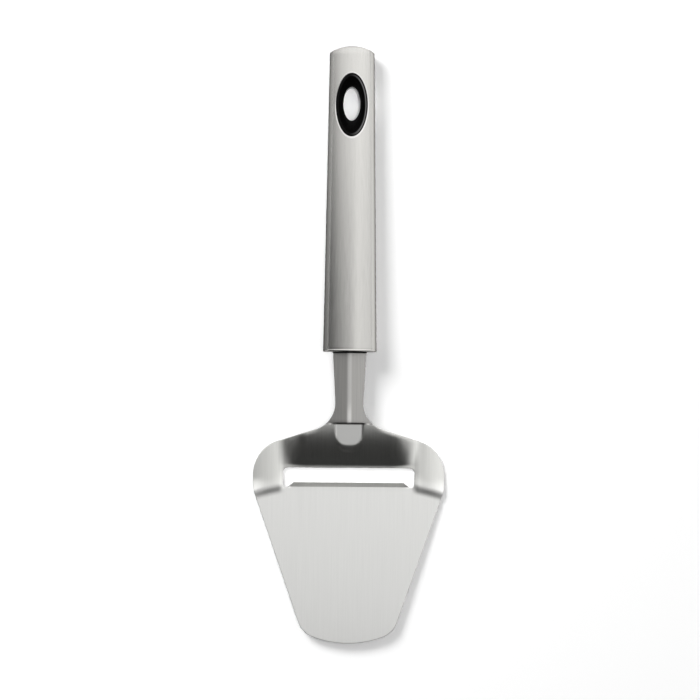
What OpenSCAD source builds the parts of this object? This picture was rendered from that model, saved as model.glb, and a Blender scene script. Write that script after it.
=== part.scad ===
// Cheese slicer with a pressed steel head and a hollow oval handle. Sizes in millimetres.
//
// The tool is drawn from the free end of the plate (y = 0) to the butt of the handle, with the plate's
// underside at z = 0 and the seen side up. It is then laid down as it lies on a table: on its cutting
// edge and on the underside of the handle.

/* [Plate and slot] */
// Length of the plate, from its free end to the bend of the cutting lip
plate_len = 62.8; // [58:0.2:70]
// Width of the head over the arms
head_w = 77; // [72:0.5:84]
// Width that the straight sides of the plate have at the free end
tip_w = 33.8; // [28:0.2:40]
// Radius of the corners at the free end
tip_corner_r = 10; // [6:0.5:12]
// Radius of the shallow arc at the free end
tip_end_r = 40; // [34:1:70]
// Thickness of the steel sheet
sheet_t = 1.2; // [1:0.1:1.6]
// Length of the slot across the head
slot_len = 52.9; // [48:0.1:55]
// Opening between the cutting edge and the bar
slot_gap = 5.9; // [5:0.1:7]
// Radius of the slot's upper corners
slot_corner_r = 2; // [1:0.1:2.4]
// Length of the cutting edge
edge_len = 44.4; // [40:0.2:45]
// Width of the ground cutting lip
lip_w = 1.8; // [1.2:0.1:2.4]
// Drop of the cutting edge below the plate's underside
lip_drop = 0.5; // [0.2:0.1:0.8]
// Thickness left at the cutting edge
edge_t = 0.2; // [0.1:0.05:0.4]

/* [Arms, bar and neck] */
// Rise of the arms above the plate
arm_rise = 0.8; // [0.5:0.1:1.4]
// Run in which an arm rises from its crease
arm_run = 4; // [3:0.1:6]
// Height of the bar above the plate at the slot
bar_lift = 0.6; // [0.4:0.1:1.2]
// Further rise of the bar from the slot to the neck
bar_rise = 8.4; // [7:0.2:9]
// Run of the bar from the slot to the neck
bar_run = 16.5; // [15:0.1:18]
// Width of the lip along the bar's slot edge
bar_lip = 0.5; // [0.3:0.1:1]
// Slope that the bar keeps up to the neck
bar_slope = 0.17; // [0.1:0.01:0.24]
// Radius of the shoulders
shoulder_r = 14.3; // [12:0.1:15]
// Slope of the shoulders
shoulder_slope = 16.8; // [14:0.2:20]
// Radius between shoulder and neck
neck_fillet_r = 11; // [8:0.2:13]
// Narrowest width of the neck
neck_min_w = 11.2; // [10.4:0.1:12.4]
// Width of the neck at the handle
neck_w = 13.2; // [12.6:0.1:14]
// Length of the neck, from the bar to the handle
neck_len = 29.8; // [26:0.2:36]
// Height of the neck's ridge above the bar
ridge_h = 1.3; // [1:0.1:1.6]
// Slope of the two faces of the neck
ridge_slope = 0.22; // [0.14:0.02:0.3]
// Width of the flat tongue pressed into the bend
tongue_w = 11; // [9:0.2:11.4]
// Length of the tongue
tongue_len = 9.1; // [8:0.1:10.5]
// Upward angle of neck and handle from the plate
handle_rise = 1.5; // [0:0.1:3]

/* [Handle] */
// Length of the handle
handle_len = 121.8; // [105:0.2:140]
// Width of the handle at its mouth
mouth_w = 21.4; // [20:0.2:24]
// Width of the handle at the butt
butt_w = 17.8; // [17:0.2:20]
// Thickness of the handle as a part of its width
handle_flat = 0.71; // [0.68:0.01:0.8]
// Wall of the two steel shells
wall_t = 0.8; // [0.6:0.05:1]
// Depth of the lip turned in at the mouth
mouth_lip = 1.2; // [0.8:0.1:1.6]
// Radius of the arched butt
butt_r = 20; // [15:0.5:26]
// Thickness of the butt cap
cap_t = 1.2; // [0.8:0.1:2]

/* [Hanging eye] */
// Distance of the eye's centre from the butt
eye_from_butt = 23.4; // [21:0.2:30]
// Width of the eye's black ring
eye_w = 12.8; // [11.6:0.1:13.4]
// Length of the eye's black ring
eye_len = 25; // [23:0.2:28]
// Width of the opening
throat_w = 6.8; // [5:0.1:7.4]
// Length of the opening
throat_len = 13.5; // [11:0.1:14.6]
// Shift of the opening towards the butt
throat_shift = 0.8; // [0:0.1:1]
// Height of the ring above the steel
ring_proud = 0.25; // [0.15:0.05:0.4]
// Overlap of the ring on the steel
ring_lap = 0.7; // [0.5:0.1:1]
// Depth of the dish
dish_depth = 4; // [2.5:0.1:4.4]
// Wall of the spigot that joins the two eyelets
spigot_wall = 1.1; // [0.8:0.1:1.4]
// Length of the spigot
spigot_len = 2.6; // [2:0.1:3]

/* [Inside the handle] */
// Thickness of the mouth plug
plug_t = 3.2; // [2:0.1:4.5]
// Height of the plug's collar in front of the mouth
collar_len = 0.5; // [0.3:0.1:1]
// Width of the plug's collar on each side of the neck
collar_wall = 0.2; // [0.2:0.1:1]
// Length of the core around the tang
core_len = 44; // [38:1:56]
// Width of the tang
tang_w = 10; // [9:0.1:10.6]
// Length of the core past the end of the tang
core_end = 3; // [2:0.1:5]
// Shank of the rivets
rivet_d = 3; // [2.4:0.1:3.6]
// Head of the rivets
rivet_head_d = 5; // [4.6:0.1:5.8]
// Thickness of the rivet heads
rivet_head_t = 1; // [0.7:0.05:1.2]
// Play at the end of the tang and of the neck
tang_play = 0.2; // [0.1:0.05:0.5]
// Play of the rivet shanks in core and tang
rivet_play = 0.1; // [0.05:0.01:0.2]
// Play of the eyelets in the holes of the shells
eye_play = 0.1; // [0.05:0.01:0.2]

/* [Hidden] */
$fn = 96;

steel = [0.80, 0.80, 0.79];
black = [0.05, 0.05, 0.05];
nylon = [0.32, 0.33, 0.34];

// Stations along the tool
y_edge = plate_len + lip_w;
y_bar = y_edge + slot_gap;
y_neck = y_bar + bar_run;
y_mouth = y_neck + neck_len;
slot_half = slot_len / 2;
head_half = head_w / 2;
// The creases run from the slot's lower corners outwards and towards the free end
crease_lean = 0.24;
crease_top = plate_len - 2.6;
y_crease_end = crease_top - crease_lean * (head_half - slot_half);
// Height of the neck's line above the plate's underside
neck_z = sheet_t + bar_lift + bar_rise;
tang_end = y_mouth + (wall_t + plug_t + core_len - core_end) * cos(handle_rise) - tang_play;

// Small helpers for the pressed shape
function clamp01(u) = min(max(u, 0), 1);
function ease(u) = let (v = clamp01(u)) v * v * (3 - 2 * v);
// Zero below -r, the value itself above r, and a rounded turn between
function soft_pos(d, r) = d <= -r ? 0 : d >= r ? d : (d + r) * (d + r) / (4 * r);
// Steep start that flattens out at u = 1
function swell(u, p) = 1 - pow(1 - clamp01(u), p);
function arc_points(c, r, a0, a1, n) =
    [for (i = [0:n]) let (a = a0 + (a1 - a0) * i / n) [c.x + r * cos(a), c.y + r * sin(a)]];

// Pressed shape of the head: height of the sheet's seen side above the plate's underside
lip_top = sheet_t + lip_drop - edge_t;
// Crown of the arms across their width, and its distance outside the slot
arm_crown = 0.007;
crown_out = 5;
// Radius of the relief at each end of the cutting edge
relief_r = 1.3;
// The bar fades into the arms beyond its flat half, and it runs on a little past the root of the neck
bar_flat_half = 17;
bar_blend = 12;
bar_len = bar_run + 1.8;
// The shoulders' arcs and slopes, and the line of their upper outline
y_wide = y_edge + 3;
shoulder = [head_half - shoulder_r, y_wide];
shoulder_end = [shoulder.x + shoulder_r * sin(shoulder_slope), shoulder.y + shoulder_r * cos(shoulder_slope)];
function rim_y(ax) =
    ax > shoulder_end.x ? shoulder.y + sqrt(max(pow(shoulder_r, 2) - pow(ax - shoulder.x, 2), 0))
                        : shoulder_end.y + (shoulder_end.x - ax) * tan(shoulder_slope);
function crease_y(ax) = crease_top - crease_lean * (ax - slot_half);
function arm_at(ax, y) =
    let (past = y - crease_y(ax),
         inner = (1 - ease((ax - slot_half + relief_r) / 3)) * (1 - ease((y - y_edge) / 7)),
         crown = arm_crown * (pow(max(ax - slot_half, 0) - crown_out, 2) - pow(crown_out, 2) * inner))
    arm_rise * ease(past / arm_run) * (1 - inner) - crown * ease((past - 1) / 8);
function bar_at(y) =
    let (past = y - y_bar, swelled = swell(soft_pos(past - bar_lip, 0.5) / (bar_len - bar_lip), 1.9))
    bar_lift + bar_slope * (past - soft_pos(past - bar_len, 1)) + (bar_rise - bar_slope * bar_len) * swelled;
// Arms and bar level out towards the shoulders' upper outline
function levelled(ax, y) =
    let (out = ax - neck_w / 2 - 3) out > 0 ? y - soft_pos(y - rim_y(ax) + 0.8, 0.8) * ease(out / 6) : y;
function raised_at(ax, y0) =
    let (y = levelled(ax, y0),
         share = (1 - ease((ax - bar_flat_half) / bar_blend)) * ease((y - y_edge) / slot_gap))
    bar_at(y) * share + arm_at(ax, y) * (1 - share);
// Round on the ridge out to this distance from the middle, flat faces beyond
ridge_round = 1.5;
function roof_at(ax) =
    ax < ridge_round ? ridge_h - ridge_slope * ax * ax / (2 * ridge_round)
                     : ridge_h - ridge_slope * (ax - ridge_round / 2);
function roof_slope(ax) = ridge_slope * min(ax / ridge_round, 1);
function neck_at(ax, y) =
    roof_at(ax) * ease((y - tongue_y1 + 1.2) / 1.6) + soft_pos(y - y_neck - 2, 2) * tan(handle_rise);
// Flat tongue across the bend between bar and neck, with a round end that rolls onto the bar
tongue_y1 = y_neck + 1.1;
tongue_z1 = neck_z - 0.1;
tongue_slope = 0.2;
tongue_r = tongue_w / 2;
function tongue_gap(ax, y) =
    let (u = ax / tongue_r, w = min(y - tongue_y1, 0) / tongue_len, far = max(norm([u, w]), 0.001),
         rate = max(norm([u / tongue_r, w / tongue_len]) / far, 0.001))
    max((far - 1) / rate, y - tongue_y1);
function tongue_share(ax, y) =
    let (roll = pow(clamp01((tongue_y1 - y) / tongue_len), 2))
    1 - ease((tongue_gap(ax, y) + 0.3 + roll) / (0.7 + 4 * roll));
function lip_at(y) = sheet_t - lip_top * clamp01((y - plate_len) / lip_w);
function on_lip_side(ax, y) = y < y_edge + slot_gap / 2 && ax < slot_half - relief_r;
function sheet_top(ax, y) =
    on_lip_side(ax, y)
        ? lip_at(y)
        : let (high = sheet_t + raised_at(ax, y) + neck_at(ax, y),
               tongue = tongue_z1 + tongue_slope * (y - tongue_y1))
          high + (tongue - high) * tongue_share(ax, y);
// Sheet thickness measured straight down, which grows with the slope
function slope_factor(ax, y) =
    let (e = 0.05,
         gx = (sheet_top(ax + e, y) - sheet_top(max(ax - e, 0), y)) / (e + min(ax, e)),
         gy = (sheet_top(ax, y + e) - sheet_top(ax, y - e)) / (2 * e))
    min(sqrt(1 + gx * gx + gy * gy), 1.7);
function sheet_under(ax, y) =
    on_lip_side(ax, y)
        ? -lip_drop * clamp01((y - plate_len) / lip_w)
        : y > y_neck + 4.2 ? sheet_top(ax, y) - sheet_t * sqrt(1 + pow(roof_slope(ax), 2))
        : y < y_crease_end - 0.5 ? 0
        : max(sheet_top(ax, y) - sheet_t * slope_factor(ax, y), 0);

// Grid lines of the pressed sheet
function span(a, b, n) = [for (i = [1:n]) a + (b - a) * i / n];
neck_half = neck_w / 2;
half_columns = concat(
    [0, 0.5, 1, ridge_round], span(ridge_round, tongue_r - 0.4, 3), span(tongue_r - 0.4, neck_half + 0.4, 3),
    span(neck_half + 0.4, bar_flat_half, 4), span(bar_flat_half, slot_half - relief_r - 0.05, 6),
    [slot_half - relief_r, slot_half], span(slot_half, head_half + 2, 7));
columns = concat([for (i = [len(half_columns) - 1:-1:1]) -half_columns[i]], half_columns);
rows = concat(
    [-2, y_crease_end - 0.6], span(y_crease_end - 0.6, plate_len, 6), span(plate_len, y_edge, 2),
    span(y_edge, y_bar, 4), span(y_bar, y_bar + bar_lip + 0.6, 4),
    span(y_bar + bar_lip + 0.6, tongue_y1 - 1, 12),
    span(tongue_y1 - 1, y_neck + 4.4, 6), [tang_end + 2]);

module pressed_sheet() {
    m = len(columns);
    n = len(rows);
    top = [for (y = rows) for (x = columns) [x, y, sheet_top(abs(x), y)]];
    under = [for (y = rows) for (x = columns) [x, y, sheet_under(abs(x), y)]];
    k = m * n;
    top_faces = [for (j = [0:n - 2]) for (i = [0:m - 2])
        let (a = j * m + i, b = a + 1, c = b + m, d = a + m)
        each (columns[i] < 0 ? [[a, c, b], [a, d, c]] : [[a, d, b], [b, d, c]])];
    under_faces = [for (f = top_faces) [f[0] + k, f[2] + k, f[1] + k]];
    rim = concat([for (i = [0:m - 2]) i], [for (j = [0:n - 2]) j * m + m - 1],
                 [for (i = [m - 1:-1:1]) (n - 1) * m + i], [for (j = [n - 1:-1:1]) j * m]);
    r = len(rim);
    rim_faces = [for (i = [0:r - 1])
        let (a = rim[i], b = rim[(i + 1) % r])
        each [[a, b, b + k], [a, b + k, a + k]]];
    polyhedron(concat(top, under), concat(top_faces, under_faces, rim_faces));
}

// Plan of the head: right half from the free end to the end of the tang
side_end = [head_half - 0.6, crease_top - 0.2];
side_lean = (side_end.x - tip_w / 2) / side_end.y;
side_len = sqrt(1 + side_lean * side_lean);
tip_k = tip_w / 2 - tip_corner_r * side_len;
tip_b = tip_k * side_lean - tip_end_r;
tip_c = tip_k * tip_k + tip_end_r * tip_end_r - pow(tip_end_r - tip_corner_r, 2);
tip_cy = (-tip_b - sqrt(tip_b * tip_b - side_len * side_len * tip_c)) / (side_len * side_len);
tip_corner = [tip_k + side_lean * tip_cy, tip_cy];
tip_split = atan2(tip_corner.y - tip_end_r, tip_corner.x);
// Round flank from the plate's side to the widest place
flank_turn = [head_half, side_end.y + (head_half - side_end.x) / side_lean];
flank = [for (i = [0:4]) let (t = i / 5)
    (1 - t) * (1 - t) * side_end + 2 * t * (1 - t) * flank_turn + t * t * [head_half, y_wide]];
fillet_x = neck_min_w / 2 + neck_fillet_r;
fillet_y = shoulder_end.y
    + (neck_fillet_r - (fillet_x - shoulder_end.x) * sin(shoulder_slope)) / cos(shoulder_slope);
neck_stop = y_mouth + (wall_t + plug_t) * cos(handle_rise) - tang_play;
half_plan = concat(
    arc_points([0, tip_end_r], tip_end_r, -90, tip_split, 5),
    arc_points(tip_corner, tip_corner_r, tip_split + 9, -atan(side_lean), 6),
    flank,
    arc_points(shoulder, shoulder_r, 0, 90 - shoulder_slope, 10),
    arc_points([fillet_x, fillet_y], neck_fillet_r, 270 - shoulder_slope, 180, 9),
    [[neck_half, y_mouth - 1], [neck_half, neck_stop], [tang_w / 2, neck_stop], [tang_w / 2, tang_end]]);
head_plan = concat(half_plan, [for (i = [len(half_plan) - 1:-1:1]) [-half_plan[i].x, half_plan[i].y]]);

// Slot with round upper corners, and a relief at each end of the cutting edge
half_slot = concat(
    [[edge_len / 2, y_edge]],
    arc_points([slot_half - relief_r, plate_len + relief_r - 0.25], relief_r, 232, 360, 6),
    arc_points([slot_half - slot_corner_r, y_bar - slot_corner_r], slot_corner_r, 0, 90, 5));
slot_plan = concat(half_slot, [for (i = [len(half_slot) - 1:-1:0]) [-half_slot[i].x, half_slot[i].y]]);

module laid_down() {
    translate([0, -y_mid, -z_low]) rotate([-rest_tilt, 0, 0]) children();
}

// Handle frame: origin in the middle of the mouth, y along the handle to the butt
module at_handle() {
    translate([0, y_neck + 2, neck_z]) rotate([handle_rise, 0, 0]) translate([0, neck_run, 0]) children();
}

// Handle sizes that follow from the ones above
neck_run = (neck_len - 2) / cos(handle_rise);
function outer_half(y) = (mouth_w + (butt_w - mouth_w) * y / handle_len) / 2;
cavity_flat = (outer_half(handle_len / 2) * handle_flat - wall_t) / (outer_half(handle_len / 2) - wall_t);
function cavity_half_t(y) = (outer_half(y) - wall_t) * cavity_flat;
eye_y = handle_len - eye_from_butt;
core_y0 = wall_t + plug_t;
core_y1 = core_y0 + core_len;
rivet_ys = [core_y0 + core_len * 0.26, core_y0 + core_len * 0.68];

// Rest on the table: cutting edge in front, and the butt or the rear eyelet behind
function tool_y(y, z) = y_neck + 2 + (neck_run + y) * cos(handle_rise) - z * sin(handle_rise);
function tool_z(y, z) = neck_z + (neck_run + y) * sin(handle_rise) + z * cos(handle_rise);
function lean_to(y, z) = atan2(tool_z(y, z) + lip_drop, tool_y(y, z) - y_edge);
function lean_to_ring(y) = lean_to(y, -(outer_half(y) + ring_proud) * handle_flat);
rest_tilt = min(lean_to(handle_len, -butt_w / 2 * handle_flat),
                lean_to_ring(eye_y - eye_len / 2), lean_to_ring(eye_y + eye_len / 2));
z_low = -y_edge * sin(rest_tilt) - lip_drop * cos(rest_tilt);
y_mid = max([for (s = [-1, 1])
    let (z = s * butt_w / 2 * handle_flat)
    tool_y(handle_len, z) * cos(rest_tilt) + tool_z(handle_len, z) * sin(rest_tilt)]) / 2;

// Oval, tapered solid of the handle, grown by a distance
module handle_solid(grow, y0, y1, flat) {
    scale([1, 1, flat]) translate([0, y0, 0]) rotate([-90, 0, 0])
        cylinder(h = y1 - y0, r1 = outer_half(y0) + grow, r2 = outer_half(y1) + grow);
}
module cavity(y0, y1) {
    handle_solid(-wall_t, y0, y1, cavity_flat);
}
// Everything in front of the arched butt, or in front of an arch inside it
module before_butt(inset) {
    translate([-head_w, -5, -head_w / 2]) cube([2 * head_w, handle_len - butt_r + 5, head_w]);
    translate([0, handle_len - butt_r, -head_w / 2]) cylinder(h = head_w, r = butt_r - inset);
}
module half_space(side) {
    translate([-head_w, -head_w, side > 0 ? 0 : -head_w]) cube([2 * head_w, 2 * head_w + handle_len, head_w]);
}
// Oval prism through the handle at the eye
module eye_prism(w, l, z0, z1, shift = 0) {
    translate([0, eye_y + shift, z0]) scale([1, l / w, 1]) cylinder(h = z1 - z0, d = w);
}

module handle_shell(side) {
    color(steel) laid_down() at_handle() difference() {
        intersection() {
            handle_solid(0, 0, handle_len, handle_flat);
            before_butt(0);
            half_space(side);
        }
        cavity(wall_t, handle_len + 1);
        mouth_opening(-0.5, wall_t + 0.5);
        eye_prism(eye_w - 2 * ring_lap, eye_len - 2 * ring_lap, -head_w, head_w);
    }
}
// Oval hole inside the lip that is turned in at the mouth
module mouth_opening(y0, y1) {
    half = outer_half(0) - wall_t - mouth_lip;
    scale([1, 1, (cavity_half_t(0) - mouth_lip) / half]) translate([0, y0, 0]) rotate([-90, 0, 0])
        cylinder(h = y1 - y0, r = half);
}

module handle_front_shell() {
    handle_shell(1);
}
module handle_back_shell() {
    handle_shell(-1);
}

module butt_cap() {
    arch = butt_r - sqrt(butt_r * butt_r - butt_w * butt_w / 4);
    color(steel) laid_down() at_handle() intersection() {
        cavity(handle_len - arch - 1.2 * cap_t, handle_len + 0.1);
        difference() {
            before_butt(0);
            before_butt(cap_t);
        }
    }
}

// One black eyelet on the front: ring on the steel, dished plug in the hole
module eyelet_body() {
    hole_w = eye_w - 2 * ring_lap - eye_play;
    hole_len = eye_len - 2 * ring_lap - eye_play;
    rim_z = outer_half(eye_y) * handle_flat + ring_proud;
    difference() {
        intersection() {
            handle_solid(ring_proud, 0, handle_len, handle_flat);
            union() {
                difference() {
                    eye_prism(eye_w, eye_len, 1, head_w / 2);
                    handle_solid(0, -1, handle_len + 1, handle_flat);
                }
                eye_prism(hole_w, hole_len, 0, head_w / 2);
            }
        }
        eye_dish(rim_z);
        eye_prism(throat_w, throat_len, -1, head_w / 2, throat_shift);
    }
}
module eye_dish(rim_z) {
    grow = (eye_w - 2 * ring_lap - throat_w) / 2;
    translate([0, eye_y + throat_shift, rim_z - dish_depth]) scale([1, throat_len / throat_w, 1])
        cylinder(h = 2 * dish_depth, r1 = throat_w / 2, r2 = throat_w / 2 + 2 * grow);
}
module spigot(extra) {
    eye_prism(throat_w + 2 * spigot_wall + extra, throat_len + 2 * spigot_wall + extra, -spigot_len, 0,
              throat_shift);
}

module eyelet_front() {
    color(black) laid_down() at_handle() difference() {
        union() {
            eyelet_body();
            spigot(0);
        }
        eye_prism(throat_w, throat_len, -spigot_len - 1, 1, throat_shift);
    }
}
module eyelet_back() {
    color(black) laid_down() at_handle() difference() {
        mirror([0, 0, 1]) eyelet_body();
        spigot(0);
    }
}

// Section of neck and tang, across the handle, with its middle on the handle's line
function section_points(half) =
    let (xs = [-half, -ridge_round, -1, -0.5, 0, 0.5, 1, ridge_round, half], c = cos(handle_rise))
    concat([for (x = xs) [x, roof_at(abs(x)) * c]],
           [for (i = [len(xs) - 1:-1:0])
               let (ax = abs(xs[i]))
               [xs[i], (roof_at(ax) - sheet_t * sqrt(1 + pow(roof_slope(ax), 2))) * c]]);
module tang_space(half, y0, y1) {
    translate([0, y1, 0]) rotate([90, 0, 0]) linear_extrude(y1 - y0) polygon(section_points(half));
}

module mouth_plug() {
    collar_w = neck_w + 2 * collar_wall;
    collar_h = ridge_h + sheet_t + 2 * collar_wall + 1.6;
    color(black) laid_down() at_handle() difference() {
        union() {
            cavity(wall_t, core_y0);
            mouth_opening(0, wall_t);
            translate([-collar_w / 2, -collar_len, -collar_h / 2]) cube([collar_w, collar_len, collar_h]);
        }
        tang_space(neck_half, -collar_len - 1, core_y0 + 1);
    }
}

// Shanks, which end in the middle of the heads
module rivet_shape(play) {
    for (y = rivet_ys) {
        reach = cavity_half_t(y) - rivet_head_t / 2 - 0.7;
        translate([0, y, -reach]) cylinder(h = 2 * reach, d = rivet_d + play);
    }
}
module rivet_heads(d, extra) {
    for (y = rivet_ys) {
        grip = cavity_half_t(y) - rivet_head_t - 0.7;
        for (s = [0, 1])
            mirror([0, 0, s]) translate([0, y, grip]) cylinder(h = rivet_head_t + extra, d = d);
    }
}

module tang_core() {
    color(nylon) laid_down() at_handle() difference() {
        cavity(core_y0, core_y1);
        tang_space(tang_w / 2, core_y0 - 1, core_y1 - core_end);
        rivet_shape(rivet_play);
        rivet_heads(rivet_head_d + 2 * rivet_play, 3);
    }
}

module tang_rivets() {
    color(steel) laid_down() at_handle() union() {
        rivet_shape(0);
        rivet_heads(rivet_head_d, 0);
    }
}

module slicing_head() {
    color(steel) laid_down() difference() {
        intersection() {
            pressed_sheet();
            translate([0, 0, -3]) linear_extrude(neck_z + 20) polygon(head_plan);
        }
        translate([0, 0, -5]) linear_extrude(neck_z + 24) polygon(slot_plan);
        at_handle() rivet_shape(2 * rivet_play);
    }
}

slicing_head();
handle_front_shell();
handle_back_shell();
butt_cap();
eyelet_front();
eyelet_back();
mouth_plug();
tang_core();
tang_rivets();
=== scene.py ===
import math

import bmesh
import bpy
import numpy as np
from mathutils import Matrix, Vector
from mathutils.geometry import delaunay_2d_cdt


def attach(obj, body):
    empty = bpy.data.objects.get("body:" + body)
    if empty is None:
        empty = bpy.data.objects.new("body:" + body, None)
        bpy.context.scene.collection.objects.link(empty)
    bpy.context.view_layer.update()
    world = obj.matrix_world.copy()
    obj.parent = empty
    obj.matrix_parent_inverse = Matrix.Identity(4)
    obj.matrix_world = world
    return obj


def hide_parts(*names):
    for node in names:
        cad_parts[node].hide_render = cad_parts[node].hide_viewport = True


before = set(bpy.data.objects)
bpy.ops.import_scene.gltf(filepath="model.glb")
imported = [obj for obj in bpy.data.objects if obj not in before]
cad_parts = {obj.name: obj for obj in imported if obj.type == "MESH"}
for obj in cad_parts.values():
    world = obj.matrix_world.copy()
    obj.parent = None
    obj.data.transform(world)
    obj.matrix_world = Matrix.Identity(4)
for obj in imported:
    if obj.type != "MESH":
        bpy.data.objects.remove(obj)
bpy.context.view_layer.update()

# ---- Sizes in millimetres ------------------------------------------------------------------------
# The tool's own frame: y runs from the plate's free end to the butt, the plate's underside is
# z = 0, and the seen side is up. It is then laid down on its cutting edge and the rear eyelet.
MM = 0.001
TINY = 1e-6
SHEET_T = 1.2

# Plate, cutting lip and slot
PLATE_LEN, HEAD_HALF = 62.8, 38.5
TIP_HALF, TIP_CORNER_R, TIP_END_R = 16.9, 10.0, 40.0
SIDE_END = np.array([HEAD_HALF - 0.6, PLATE_LEN - 2.8])
LIP_W, LIP_DROP, LIP_BEND_HALF = 1.8, 0.5, 23.2
EDGE_T, EDGE_HALF = 0.2, 22.2
SLOT_HALF, SLOT_GAP, SLOT_CORNER_R = 26.45, 5.9, 2.0
RELIEF_R, RELIEF_SINK, RELIEF_START = 1.3, 0.25, math.radians(232)

# Arms beside the slot, which step up from the plate at a slanting crease
CREASE_LEAN, CREASE_TOP, CREASE_GAP = 0.24, PLATE_LEN - 2.6, 0.5
ARM_RISE, ARM_RUN = 0.7, 4.0
ARM_CREST, CREST_W = 0.03, 3.0
ARM_CROWN, CROWN_OUT, CROWN_START, CROWN_RUN = 0.018, 5.0, 1.0, 8.0
ARM_FOOT_W, ARM_FOOT_RUN = 3.0, 7.0

# Bar behind the slot: a level lip, then a rise that eases off towards the neck
BAR_LIFT, BAR_RISE, BAR_RUN, BAR_OVERRUN = 0.6, 8.4, 16.5, 1.8
BAR_LIP, BAR_LIP_SOFT, BAR_END_SOFT = 1.1, 0.5, 1.0
BAR_SLOPE, BAR_SWELL = 0.17, 1.9
BAR_FLAT_HALF, BAR_BLEND = 17.0, 12.0
SHOULDER_R, SHOULDER_SLOPE = 14.3, math.radians(16.8)
RIM_SOFT, RIM_OFF_NECK, RIM_RUN = 0.8, 3.0, 6.0

# Neck with its roof-shaped ridge, and the flat tongue pressed into the bend in front of it
NECK_FILLET_R, NECK_MIN_HALF, NECK_HALF = 11.0, 5.6, 6.6
NECK_LEN, NECK_BEND, NECK_FULL = 29.8, 2.0, 1.0
RIDGE_H, RIDGE_SLOPE, RIDGE_ROUND = 1.3, 0.22, 1.5
RIDGE_OVERLAP, RIDGE_EASE, RIDGE_ALONE = 0.35, 0.6, 4.2
TONGUE_HALF, TONGUE_LEN, TONGUE_SLOPE = 5.5, 9.1, 0.2
TONGUE_IN, TONGUE_EDGE = 0.3, 0.7
TONGUE_ROLL_IN, TONGUE_ROLL = 0.6, 3.0

# Rounded edges of the sheets. The head's thickness is probed a little in from an edge and its slope
# over a short step, and a steep slope thickens it only up to a limit.
EDGE_ROUND, EDGE_ROUND_SHARE, EDGE_ROW = 0.17, 0.35, 0.12
EDGE_TURNS = [math.radians(turn) for turn in (0, 30, 60, 90)]
EDGE_PROBE, SLOPE_PROBE, STEEPEST = 0.1, 0.05, 1.7

# Hollow handle: its shells, its rolled mouth and its butt
HANDLE_RISE = math.radians(1.5)
HANDLE_LEN, MOUTH_HALF, BUTT_HALF, HANDLE_FLAT = 121.8, 10.7, 8.9, 0.71
WALL_T, MOUTH_LIP, MOUTH_LIP_ROUND, MOUTH_LIP_GAP = 0.8, 1.2, 0.12, 0.05
MOUTH_ROUND, ROLL_DIP, ROLL_AT, ROLL_W = 0.45, 0.035, 1.05, 0.5
SEAM_DIP, HOLE_DIP, HOLE_ROUND = 0.06, 0.16, 0.34
BUTT_R, BUTT_ROUND, BUTT_IN = 20.0, 0.22, 2.0
CAP_T, CAP_PLAY, CAP_ROUND, CAP_ROUND_MID, CAP_BACK_ROUND = 1.2, 0.02, 0.12, 0.035, 0.1

# Hanging eye
EYE_Y, EYE_HALF_W, EYE_HALF_LEN, EYE_PLAY = 98.4, 6.4, 12.5, 0.05
RING_LAP, RING_PROUD, RING_SINK = 0.7, 0.25, 0.3
THROAT_HALF_W, THROAT_HALF_LEN, THROAT_SHIFT, THROAT_ROUND = 3.4, 6.75, 0.8, 0.3
DISH_DEPTH, DISH_POWER = 4.0, 1.35
SPIGOT_WALL, SPIGOT_LEN, SPIGOT_ROOT = 1.1, 2.6, 0.3

# Inside the handle. The rivets' places are shares of the core's length.
PLUG_T, CORE_LEN, CORE_END, TANG_HALF, TANG_PLAY = 3.2, 44.0, 3.0, 5.0, 0.2
RIVET_HOLE_R, RIVET_PLACES = 1.6, (0.26, 0.68)

# Places along the tool
Y_EDGE = PLATE_LEN + LIP_W
Y_WIDE = Y_EDGE + 3
Y_BAR = Y_EDGE + SLOT_GAP
Y_NECK = Y_BAR + BAR_RUN
Y_MOUTH = Y_NECK + NECK_LEN
Y_CREASE_END = CREASE_TOP - CREASE_LEAN * (HEAD_HALF - SLOT_HALF)
NECK_Z = SHEET_T + BAR_LIFT + BAR_RISE
NECK_RUN = (NECK_LEN - NECK_BEND) / math.cos(HANDLE_RISE)
TONGUE_Y1, TONGUE_Z1 = Y_NECK + 1.1, NECK_Z - 0.8
CORE_Y0 = WALL_T + PLUG_T
NECK_STOP = Y_MOUTH + CORE_Y0 * math.cos(HANDLE_RISE) - TANG_PLAY
TANG_STOP = Y_MOUTH + (CORE_Y0 + CORE_LEN - CORE_END) * math.cos(HANDLE_RISE) - TANG_PLAY


# ---- Frames --------------------------------------------------------------------------------------
def outer_half(y):
    """Half the handle's width at a place along it."""
    return MOUTH_HALF + (BUTT_HALF - MOUTH_HALF) * y / HANDLE_LEN


def from_handle(points):
    """Points in the handle's frame, with its origin in the middle of the mouth, as points in the
    tool's frame."""
    x, y, z = np.asarray(points, float).T
    c, s = math.cos(HANDLE_RISE), math.sin(HANDLE_RISE)
    along = NECK_RUN + y
    return np.stack([x, Y_NECK + NECK_BEND + along * c - z * s, NECK_Z + along * s + z * c], 1)


def on_side(side):
    """A function that places points on the handle's seen side for 1, or its hidden side for -1."""
    return lambda points: from_handle(points * (1, 1, side))


def lean_to(y, z):
    """The tool's tilt when it lies on its cutting edge and on a point of the handle."""
    point = from_handle([[0, y, z]])[0]
    return math.atan2(point[2] + LIP_DROP, point[1] - Y_EDGE)


def ring_lean(y):
    return lean_to(y, -(outer_half(y) + RING_PROUD) * HANDLE_FLAT)


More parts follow.
